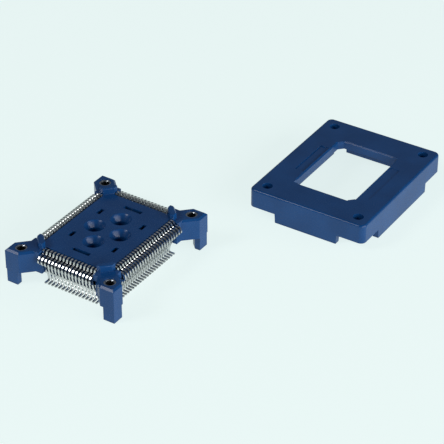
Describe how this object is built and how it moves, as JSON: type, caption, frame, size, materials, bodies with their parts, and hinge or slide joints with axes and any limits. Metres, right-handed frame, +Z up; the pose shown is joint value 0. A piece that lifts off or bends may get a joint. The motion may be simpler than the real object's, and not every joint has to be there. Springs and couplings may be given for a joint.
{
  "type": "ic socket",
  "caption": "Surface-mount socket for a flat IC package: spring contacts on four sides of a moulded housing, and a separate screw-down cover frame.",
  "frame": {"origin": "centre of the contact feet, on the board plane", "axes": "+X along the long rows of contacts, +Z up from the board"},
  "size_m": [0.0774, 0.0522, 0.0089],
  "materials": {
    "moulded_plastic": "satin moulded",
    "contact_metal": "bright plated spring strip",
    "insert_metal": "machined and plated"
  },
  "bodies": {
    "root": {"housing": "moulded_plastic", "cover": "moulded_plastic", "insert_front": "insert_metal", "insert_right": "insert_metal", "insert_back": "insert_metal", "insert_left": "insert_metal", "contacts_east_1": "contact_metal", "contacts_east_2": "contact_metal", "contacts_east_3": "contact_metal", "contacts_east_4": "contact_metal", "contacts_east_5": "contact_metal", "contacts_east_6": "contact_metal", "contacts_east_7": "contact_metal", "contacts_east_8": "contact_metal", "contacts_north_1": "contact_metal", "contacts_north_2": "contact_metal", "contacts_north_3": "contact_metal", "contacts_north_4": "contact_metal", "contacts_north_5": "contact_metal", "contacts_north_6": "contact_metal", "contacts_north_7": "contact_metal", "contacts_north_8": "contact_metal", "contacts_north_9": "contact_metal", "contacts_north_10": "contact_metal", "contacts_north_11": "contact_metal", "contacts_north_12": "contact_metal", "contacts_west_1": "contact_metal", "contacts_west_2": "contact_metal", "contacts_west_3": "contact_metal", "contacts_west_4": "contact_metal", "contacts_west_5": "contact_metal", "contacts_west_6": "contact_metal", "contacts_west_7": "contact_metal", "contacts_west_8": "contact_metal", "contacts_south_1": "contact_metal", "contacts_south_2": "contact_metal", "contacts_south_3": "contact_metal", "contacts_south_4": "contact_metal", "contacts_south_5": "contact_metal", "contacts_south_6": "contact_metal", "contacts_south_7": "contact_metal", "contacts_south_8": "contact_metal", "contacts_south_9": "contact_metal", "contacts_south_10": "contact_metal", "contacts_south_11": "contact_metal", "contacts_south_12": "contact_metal"}
  },
  "joints": []
}
